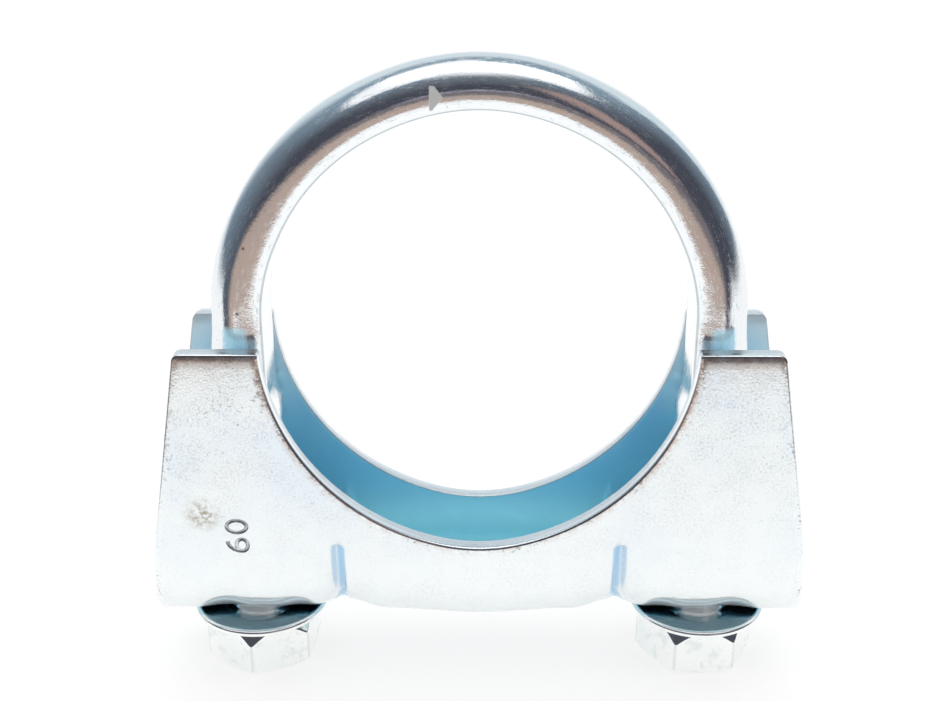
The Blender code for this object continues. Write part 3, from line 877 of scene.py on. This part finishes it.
def make_nut(name, side):
    turn = math.radians(nut_turns[name])
    tan30 = math.tan(math.radians(30.0))
    under = nut_height - flange_thickness
    corner = nut_across_flats / 2 / math.cos(math.pi / 6)
    neck_radius = corner - neck_height * tan30
    foot_z = lambda r: (r - foot_radius) * tan30
    neck_z = lambda r: under - (r - neck_radius) / tan30
    soft = 0.12 * mm

    def ring(radius_at, height_at):
        made = []
        for i in range(nut_steps):
            angle = 2 * math.pi * i / nut_steps
            radius = radius_at(angle)
            made.append((side * leg_x + radius * math.sin(angle + turn),
                         -radius * math.cos(angle + turn), height_at(radius)))
        return made

    def plain(radius, height):
        return ring(lambda angle: radius, lambda r: height)

    def shrunk(amount):
        return lambda angle: hexagon(angle) - amount

    # The bore's chamfer at either face: out from the thread's root, and in from the face
    mouth = [(0.0, 0.9 * mm), (0.75 * mm, 0.08 * mm), (0.85 * mm, 0.0)]
    rings = [plain(bore_root + out, depth) for out, depth in mouth]
    rings += [plain(foot_radius - soft, 0.0),
              plain(foot_radius + 0.5 * soft, 0.25 * soft),
              ring(shrunk(soft * 0.9), foot_z),
              ring(shrunk(soft * 0.25), lambda r: foot_z(r) + soft * 0.55),
              ring(hexagon, lambda r: foot_z(r) + soft * 1.4),
              ring(hexagon, lambda r: foot_z(r) + 1.2 * mm),
              ring(hexagon, lambda r: min(neck_z(r), under - 0.25 * mm) - 0.6 * mm),
              ring(hexagon, lambda r: min(neck_z(r), under - 0.25 * mm) - soft),
              ring(shrunk(soft * 0.5), lambda r: min(neck_z(r), under - 0.2 * mm) - 0.1 * soft)]
    for i in range(1, 6):
        share = i / 6
        rings.append(ring(lambda angle, s=share: shrunk(soft * 0.5)(angle) * (1 - s) + neck_radius * s,
                          lambda r: min(neck_z(r), under - 0.03 * mm)))
    rim_low = nut_height - flange_edge_drop - flange_rim
    slope = (rim_low - under) / (flange_radius - neck_radius)
    rings += [plain(neck_radius - 0.05 * mm, under - 0.02 * mm),
              plain(neck_radius + 0.35 * mm, under + 0.35 * mm * slope),
              plain(flange_radius - 0.25 * mm, rim_low - 0.25 * mm * slope),
              plain(flange_radius - 0.06 * mm, rim_low + 0.02 * mm),
              plain(flange_radius, rim_low + 0.12 * mm)]
    for i in range(9):
        angle = math.pi / 2 * i / 8
        rings.append(plain(flange_radius - flange_edge_run * (1 - math.cos(angle)),
                           nut_height - flange_edge_drop * (1 - math.sin(angle))))
    rings += [plain(bore_root + out, nut_height - depth) for out, depth in reversed(mouth)]
    points = [point for one in rings for point in one]
    return mesh_object(name + "_body", points, ring_faces(len(rings), nut_steps, True), [zinc_nut], 28.0)


# Saddle

def press_out(x, along, turned):
    """How far the press has moved the sheet outwards at x, at a place along the fold."""
    quarter = math.pi / 4 * bend_radius
    wall_reach = dart_height - bend_radius + quarter
    web_reach = half_depth - bend_radius + quarter
    belly = belly_drop * swell(x, belly_run)
    inside = abs(x) < dart_x
    hollow = hollow_depth * swell(abs(x) - dart_x, hollow_inner_run if inside else hollow_outer_run)
    dart = dart_depth * swell(abs(x) - dart_x, dart_width / 2)
    pinch = pinch_depth * swell(abs(x) - leg_x + pinch_inner, pinch_run)
    pinch += pinch_depth * swell(abs(x) - leg_x - pinch_outer, pinch_run)
    if turned < 0.5:
        fade = swell(along, wall_reach)
        belly *= fade
        hollow *= fade ** 2
        dart *= smooth((wall_reach - along) / dart_end)
    else:
        fade = swell(along, web_reach)
        hollow *= hollow_web_share + (1.0 - hollow_web_share) * fade
        dart *= fade
    return belly - hollow - dart - pinch * math.sin(math.pi * turned) ** 2


def arc(centre_x, centre_z, radius, start, end, step=1.5):
    steps = max(2, math.ceil(abs(end - start) / step))
    turns = [math.radians(start + (end - start) * i / steps) for i in range(steps + 1)]
    return [(centre_x + radius * math.cos(t), centre_z + radius * math.sin(t)) for t in turns]


def rounded(corner, before, after, radius, steps=8):
    """A corner of the outline, replaced by a round."""
    corner, before, after = Vector(corner), Vector(before), Vector(after)
    one, two = (before - corner).normalized(), (after - corner).normalized()
    half = one.angle(two) / 2
    centre = corner + (one + two).normalized() * radius / math.sin(half)
    reach = radius / math.tan(half)
    first, last = corner + one * reach - centre, corner + two * reach - centre
    start, end = math.atan2(first.y, first.x), math.atan2(last.y, last.x)
    sweep = (end - start + math.pi) % (2 * math.pi) - math.pi
    turns = [start + sweep * i / steps for i in range(steps + 1)]
    return [(centre.x + radius * math.cos(t), centre.y + radius * math.sin(t)) for t in turns]


def wall_edge():
    """Right half of the wall's free edge, from the middle of the cut-out to the foot of the side."""
    meet = math.degrees(math.atan2(cut_bottom_z - cut_flank_z, flank_offset))
    horn_turn = -math.degrees(math.asin(horn_drop / flank_radius))
    horn_x = flank_radius * math.cos(math.radians(horn_turn)) - flank_offset
    foot, knee = (half_bottom, 0.0), (half_bottom, side_foot)
    shoulder, tip = (half_top, horn_z), (horn_x, horn_z)
    bottom = arc(0.0, cut_bottom_z, bottom_radius, -90.0, meet)
    flank = arc(-flank_offset, cut_flank_z, flank_radius, meet, horn_turn)
    clear = [point for point in flank if horn_z - point[1] > 2 * horn_inner_round]
    inner = rounded(tip, flank[-2], shoulder, horn_inner_round, 6)
    top = rounded(shoulder, tip, knee, horn_outer_round)
    side = rounded(knee, shoulder, foot, side_round)
    edge = bottom + clear[1:] + inner + top + side
    return [Vector(point) for point in edge]


def measured(points):
    """Running length along a line of points."""
    total = [0.0]
    for one, two in zip(points, points[1:]):
        total.append(total[-1] + (two - one).length)
    return total


def lookup(table_x, table_y, x):
    for (x0, x1), (y0, y1) in zip(zip(table_x, table_x[1:]), zip(table_y, table_y[1:])):
        if x <= x1:
            share = (x - x0) / (x1 - x0) if x1 > x0 else 0.0
            return y0 * (1 - share) + y1 * share
    return table_y[-1]


def wall_columns():
    """Columns of the wall: (foot x, edge point, edge's outward direction), from the middle to one end."""
    edge = wall_edge()
    run = measured(edge)
    key_runs = [next(s for s, p in zip(run, edge) if p.x > x * mm) for x in (15, 24, 31, 42)]
    key_runs = [0.0, *key_runs, run[-1]]
    key_feet = [0.0, 15 * mm, 23.5 * mm, 34.5 * mm, 40 * mm, half_bottom]
    wanted = set(run)
    feet = [dart_x + dart_width * i / 16 for i in range(-10, 11)]
    feet += [leg_x + pinch_outer + pinch_run * i / 6 for i in range(-6, 7)]
    feet += [leg_x - pinch_inner + pinch_run * i / 6 for i in range(7)]
    feet += [dart_x - hollow_inner_run * i / 8 for i in range(9)]
    wanted |= {lookup(key_feet, key_runs, foot) for foot in feet if foot < half_bottom}
    runs = []
    for value in sorted(wanted):
        if not runs or value - runs[-1] > 0.1 * mm or value == run[-1]:
            runs.append(value)

    def edge_point(value):
        return Vector([lookup(run, [p[axis] for p in edge], value) for axis in (0, 1)])

    beside = 0.15 * mm
    columns = []
    for value in runs:
        point, ahead, back = [edge_point(value + step) for step in (0.0, beside, -beside)]
        if value < beside:
            back = Vector((-ahead.x, ahead.y))
        along = (ahead - back).normalized()
        columns.append((lookup(key_runs, key_feet, value), point, Vector((-along.y, along.x))))
    return columns


def fold_stops():
    """Stops round the bend and over the web: place, outward direction, distance and share of the bend."""
    stops = []
    steps = 14
    for i in range(steps + 1):
        angle = math.pi / 2 * i / steps
        ny, nz = -math.cos(angle), -math.sin(angle)
        stops.append((-half_depth + bend_radius * (1 + ny), bend_radius * (1 + nz), ny, nz,
                      abs(angle - math.pi / 4) * bend_radius, i / steps))
    quarter = math.pi / 4 * bend_radius
    for share in (0.5, 1.0):
        y = (bend_radius - half_depth) * (1 - share)
        stops.append((y, 0.0, 0.0, -1.0, half_depth + y - bend_radius + quarter, 1.0))
    return stops


def make_saddle_sheet():
    """The folded sheet as two skins, outside and inside, joined by a rounded cut edge."""
    half = wall_columns()
    mirrored = [(-foot, Vector((-p.x, p.y)), Vector((-n.x, n.y))) for foot, p, n in reversed(half[1:])]
    columns = mirrored + half
    fold = fold_stops()
    rises = [0.0, 0.06, 0.12, 0.18, 0.24, 0.29, 0.33, 0.35, 0.37, 0.39, 0.41, 0.44, 0.52, 0.65, 0.78, 0.88,
             0.95]
    quarter = math.pi / 4 * bend_radius
    inset_out, inset_in = 0.36 * mm, 0.10 * mm

    def wall_point(x, z, depth):
        along = z - bend_radius + quarter
        out = press_out(x, along, 0.0)
        return (x, -half_depth - out + depth, web_z + z)

    def column(foot, point, outward, inset, depth, end_inset):
        """One run over the sheet from the front edge to the back edge."""
        top = point - outward * inset
        made = []
        for rise in reversed(rises[1:]):
            z = bend_radius + (top.y - bend_radius) * rise
            x = foot + (top.x - foot) * rise
            made.append(wall_point(x - end_inset, z, depth))
        made.insert(0, wall_point(top.x, top.y, depth))
        for y, z, ny, nz, along, turned in fold:
            out = press_out(foot, along, turned) - depth
            made.append((foot - end_inset, y + ny * out, web_z + z + nz * out))
        back = [(x, -y, z) for x, y, z in reversed(made[:-1])]
        return made + back

    def skin(inset, depth):
        rows = []
        last = len(columns) - 1
        for i, (foot, point, outward) in enumerate(columns):
            end = inset * (1 if i == last else -1 if i == 0 else 0)
            rows.append(column(foot, point, outward, inset, depth, end))
        return rows

    rim = [(0.22, 0.03), (0.10, 0.10), (0.03, 0.22), (0.0, 0.40), (0.0, 1.10), (0.0, 1.75), (0.0, 2.16),
           (0.03, 2.25)]
    levels = [skin(inset_out, 0.0)] + [skin(a * mm, d * mm) for a, d in rim] + [skin(inset_in, sheet)]
    width, tall = len(columns), len(levels[0][0])
    points, faces, kinds = [], [], []

    def add(rows):
        start = len(points)
        points.extend(point for row in rows for point in row)
        return lambda i, j: start + i * tall + j

    outer, inner = add(levels[0]), add(levels[-1])
    for index, kind in ((outer, 0), (inner, 1)):
        for i in range(width - 1):
            for j in range(tall - 1):
                faces.append((index(i, j), index(i + 1, j), index(i + 1, j + 1), index(i, j + 1)))
                kinds.append(kind)
    border = [(i, 0) for i in range(width)] + [(width - 1, j) for j in range(1, tall)]
    border += [(i, tall - 1) for i in range(width - 2, -1, -1)] + [(0, j) for j in range(tall - 2, 0, -1)]
    loops = [[outer(i, j) for i, j in border]]
    for level in levels[1:-1]:
        start = len(points)
        points.extend(level[i][j] for i, j in border)
        loops.append(list(range(start, start + len(border))))
    loops.append([inner(i, j) for i, j in border])
    for n, (one, two) in enumerate(zip(loops, loops[1:])):
        for k in range(len(border)):
            m = (k + 1) % len(border)
            faces.append((one[k], one[m], two[m], two[k]))
            kinds.append(0 if n < 2 else 2)
    blank = mesh_object("saddle_sheet", points, faces, [zinc_outside, zinc_inside, zinc_cut], 40.0)
    for face, kind in zip(blank.data.polygons, kinds):
        face.material_index = kind
    through = blank.data.attributes.new("through_sheet", "FLOAT", "POINT")
    centre = Vector((half_depth - bend_radius, bend_radius))
    for vertex in blank.data.vertices:
        x, y, z = vertex.co
        depth = half_depth - abs(y)
        if z - web_z < bend_radius:
            depth = bend_radius - (Vector((max(abs(y), centre.x), z - web_z)) - centre).length
        through.data[vertex.index].value = max(0.0, min(1.0, depth / sheet))
    return blank


def digit_paths():
    """Centre lines of the struck size number, as (across, up) in units of its height."""
    zero = [(0.30 + 0.27 * math.cos(t), 0.5 + 0.46 * math.sin(t)) for t in
            [2 * math.pi * i / 28 for i in range(28)]]
    ring = [(0.30 + 0.27 * math.cos(t), 0.30 + 0.26 * math.sin(t)) for t in
            [2 * math.pi * i / 24 for i in range(24)]]
    hook = [(0.03, 0.32), (0.04, 0.48), (0.10, 0.68), (0.21, 0.84), (0.35, 0.94), (0.48, 0.96)]
    return [(0.0, ring, True), (0.0, hook, False), (0.84, zero, True)]


def make_number_cutter():
    """A round-nosed punch for the size number, struck sideways on the front wall."""
    tall = 3.2 * mm
    pitch = 3.75 * mm
    base = Vector((-33.95 * mm, -half_depth - 0.06 * mm, 22.9 * mm))
    curve = bpy.data.curves.new("size_number", "CURVE")
    curve.dimensions = "3D"
    curve.bevel_depth = 0.31 * mm
    curve.bevel_resolution = 3
    curve.use_fill_caps = True
    for shift, path, closed in digit_paths():
        line = curve.splines.new("POLY")
        line.points.add(len(path) - 1)
        line.use_cyclic_u = closed
        for point, (across, up) in zip(line.points, path):
            point.co = (base.x - up * tall, base.y, base.z + (across + shift) * pitch, 1.0)
    punch = add_object("size_number", curve)
    mesh = settled_mesh(punch)
    bpy.data.objects.remove(punch, do_unlink=True)
    mesh.materials.clear()
    mesh.materials.append(zinc_number_shade)
    return add_object("size_number_punch", mesh)


def make_saddle():
    blank = make_saddle_sheet()
    tools = []
    for side in (-1, 1):
        turns = [2 * math.pi * i / hole_steps for i in range(hole_steps)]
        hole = [(side * leg_x + hole_radius * math.cos(t), hole_radius * math.sin(t)) for t in turns]
        points = [(x, y, z) for z in (web_z - 5 * mm, web_z + 6 * mm) for x, y in hole]
        tools.append(mesh_object("leg_hole", points, ring_faces(2, hole_steps, False), []))
    tools.append(make_number_cutter())
    for tool in tools:
        step = blank.modifiers.new(tool.name, "BOOLEAN")
        step.operation = "DIFFERENCE"
        step.solver = "EXACT"
        step.use_self = tool.name.startswith("size_number")
        step.material_mode = "TRANSFER"
        step.object = tool
    mesh = settled_mesh(blank)
    for tool in tools + [blank]:
        bpy.data.objects.remove(tool, do_unlink=True)
    shade(mesh, 40.0)
    return add_object("saddle_sheet", mesh)


rod = make_rod()
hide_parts("u_bolt")
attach(rod, "bolt")

saddle = make_saddle()
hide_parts("saddle")
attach(saddle, "saddle")

leg_sizes = {"Root Radius": leg_root - 0.05 * mm, "Pitch": thread_pitch,
             "Turns": (thread_length - 0.6 * mm) / thread_pitch,
             "Ridge Height": leg_crest - leg_root + 0.05 * mm,
             "Root Width": 1.32 * mm, "Crest Width": 0.30 * mm, "Fade": 0.03}
bore_sizes = {"Root Radius": bore_root + 0.05 * mm, "Pitch": thread_pitch,
              "Turns": (nut_height - 1.6 * mm) / thread_pitch,
              "Ridge Height": bore_crest - bore_root - 0.05 * mm,
              "Root Width": 1.10 * mm, "Crest Width": 0.20 * mm, "Fade": 0.06}
thread_z = leg_end_z + 0.3 * mm
for side, label in ((-1, "left"), (1, "right")):
    thread = make_thread(label + "_leg_thread", side * leg_x, thread_z, zinc_rod, leg_sizes)
    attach(thread, "bolt")
    nut = make_nut("nut_" + label, side)
    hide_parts("nut_" + label)
    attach(nut, label + "_nut")
    thread = make_thread(label + "_bore_thread", side * leg_x, thread_z + thread_pitch / 2, zinc_nut,
                         bore_sizes)
    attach(thread, label + "_nut")


# Floor, light and camera

def make_floor():
    """White paper. Reflections see only a short strip of it in front of the clamp, then the room."""
    half = floor_half_side
    mesh = bpy.data.meshes.new("floor")
    corners = [(-half, -half, 0), (half, -half, 0), (half, half, 0), (-half, half, 0)]
    mesh.from_pydata(corners, [], [(0, 1, 2, 3)])
    material, tree, shader = new_material("floor_paper")
    feed(tree, shader.inputs["Base Color"], floor_white)
    shader.inputs["Roughness"].default_value = 1.0
    shader.inputs["Specular IOR Level"].default_value = 0.0
    rays = node(tree, "ShaderNodeLightPath")
    plain = node(tree, "ShaderNodeBsdfDiffuse")
    feed(tree, plain.inputs["Color"], floor_seen)
    lift = node(tree, "ShaderNodeEmission")
    feed(tree, lift.inputs["Color"], floor_glow)
    seen = node(tree, "ShaderNodeAddShader")
    join(tree, plain.outputs[0], seen.inputs[0])
    join(tree, lift.outputs[0], seen.inputs[1])
    by_camera = node(tree, "ShaderNodeMixShader")
    join(tree, larger(tree, rays.outputs["Is Camera Ray"], rays.outputs["Is Glossy Ray"]),
         by_camera.inputs[0])
    join(tree, shader.outputs[0], by_camera.inputs[1])
    join(tree, seen.outputs[0], by_camera.inputs[2])
    place = object_place(tree)
    beside = absolute(tree, axis_value(tree, place, "X"))
    skew = times(tree, beside, strip_skew)
    past = map_range(tree, minus(tree, skew, axis_value(tree, place, "Y")), *strip_front)
    past = larger(tree, past, map_range(tree, beside, *strip_side))
    clear = node(tree, "ShaderNodeBsdfTransparent")
    by_gloss = node(tree, "ShaderNodeMixShader")
    join(tree, times(tree, rays.outputs["Is Glossy Ray"], past), by_gloss.inputs[0])
    join(tree, by_camera.outputs[0], by_gloss.inputs[1])
    join(tree, clear.outputs[0], by_gloss.inputs[2])
    join(tree, by_gloss.outputs[0], tree.nodes["Material Output"].inputs["Surface"])
    mesh.materials.append(material)
    floor = add_object("floor", mesh)


def between(tree, share, low, high):
    return map_range(tree, share, 0.0, 1.0, low, high, "LINEAR")


def room_colours(tree, sky):
    """What the metal reflects: paper low down, a dark room in front, hazier sides and a white ceiling.

    Angles are in degrees: up is over the level, turn is to the right of straight in front of the clamp.
    """
    parts = node(tree, "ShaderNodeSeparateXYZ")
    join(tree, sky, parts.inputs[0])
    degree = 180.0 / math.pi
    up = times(tree, math_node(tree, "ARCSINE", parts.outputs["Z"]), degree)
    ahead = times(tree, parts.outputs["Y"], -1.0)
    turn = times(tree, math_node(tree, "ARCTAN2", parts.outputs["X"], ahead), degree)
    aside = absolute(tree, turn)
    right = map_range(tree, turn, -20.0, 20.0)

    spread = map_range(tree, aside, between(tree, right, 46.0, 82.0), between(tree, right, 125.0, 135.0),
                       0.0, 0.55, "LINEAR")
    hazy = plus(tree, spread, map_range(tree, up, 28.0, 70.0, 0.0, 0.5, "LINEAR"), clamp=True)
    haze = mix_colour(tree, map_range(tree, aside, 15.0, 60.0), room_haze_front, room_haze_side)
    colour = mix_colour(tree, hazy, room_dark, haze)
    rear = map_range(tree, aside, between(tree, right, 116.0, 126.0), between(tree, right, 152.0, 134.0))
    rear = times(tree, rear, map_range(tree, up, 43.0, 31.0))
    colour = mix_colour(tree, rear, colour, room_rear)
    warm = times(tree, band(tree, turn, 19.0, 38.0, 9.0), band(tree, up, 2.0, 44.0, 10.0))
    colour = mix_colour(tree, warm, colour, room_warm)
    window = times(tree, band(tree, turn, -9.0, 8.0, 7.0), band(tree, up, -2.5, 5.0, 3.5))
    colour = mix_colour(tree, times(tree, window, 0.85), colour, room_window)
    bench = times(tree, map_range(tree, up, 0.0, -7.0), band(tree, turn, -56.0, 42.0, 12.0))
    colour = mix_colour(tree, times(tree, bench, 0.85), colour, room_bench)
    table_top = map_range(tree, turn, -36.0, 2.0, -6.5, -16.5)
    table = map_range(tree, minus(tree, up, table_top), 3.0, -2.5)
    table = times(tree, table, band(tree, turn, -50.0, 34.0, 12.0))
    colour = mix_colour(tree, table, colour, room_table)
    left_limit = map_range(tree, aside, 68.0, 80.0, -29.0, -12.0)
    right_limit = map_range(tree, aside, 36.0, 72.0, -29.0, -11.5)
    limit = between(tree, right, left_limit, right_limit)
    limit = plus(tree, limit, map_range(tree, aside, 80.0, 125.0, 0.0, 8.0, "LINEAR"))
    limit = plus(tree, limit, map_range(tree, aside, 135.0, 165.0, 0.0, 15.0))
    fade = map_range(tree, aside, 36.0, 60.0, 0.7, 5.5)
    paper = map_range(tree, minus(tree, up, limit), fade, times(tree, fade, -1.0))
    colour = mix_colour(tree, paper, colour, room_paper)
    front = map_range(tree, aside, 74.0, 60.0)
    ceiling = map_range(tree, up, between(tree, front, between(tree, right, 47.0, 53.0), 64.0),
                        between(tree, front, between(tree, right, 52.0, 59.0), 86.0))
    return mix_colour(tree, ceiling, colour, room_ceiling)


def make_world():
    """An even white room. Reflections see the darker room past the paper."""
    world = bpy.data.worlds.new("white_room")
    world.use_nodes = True
    tree = world.node_tree
    back = tree.nodes["Background"]
    sky = node(tree, "ShaderNodeTexCoord").outputs["Generated"]
    rays = node(tree, "ShaderNodeLightPath")
    seen = mix_colour(tree, rays.outputs["Is Glossy Ray"], (1.0, 1.0, 1.0), room_colours(tree, sky))
    join(tree, seen, back.inputs["Color"])
    back.inputs["Strength"].default_value = 1.0
    bpy.context.scene.world = world


def area_light(name, place, aim, size, power):
    data = bpy.data.lights.new(name, "AREA")
    data.shape = "RECTANGLE"
    data.size, data.size_y = size
    data.energy = power
    lamp = add_object(name, data)
    lamp.location = place
    lamp.rotation_mode = "QUATERNION"
    lamp.rotation_quaternion = (Vector(aim) - Vector(place)).to_track_quat("-Z", "Y")


def make_camera():
    data = bpy.data.cameras.new("camera")
    data.sensor_width = sensor_width
    data.lens = focal_length / picture_width * sensor_width
    data.clip_start, data.clip_end = 0.005, 10.0
    camera = add_object("camera", data)
    camera.location = camera_place
    camera.rotation_euler = [math.radians(angle) for angle in camera_turn]
    bpy.context.scene.camera = camera


make_floor()
make_world()
area_light("top_softbox", place=(0.0, 0.13, 0.58), aim=(0.0, 0.0, 0.08), size=(0.55, 0.27), power=0.5)
make_camera()
bpy.context.scene.view_settings.view_transform = "Standard"
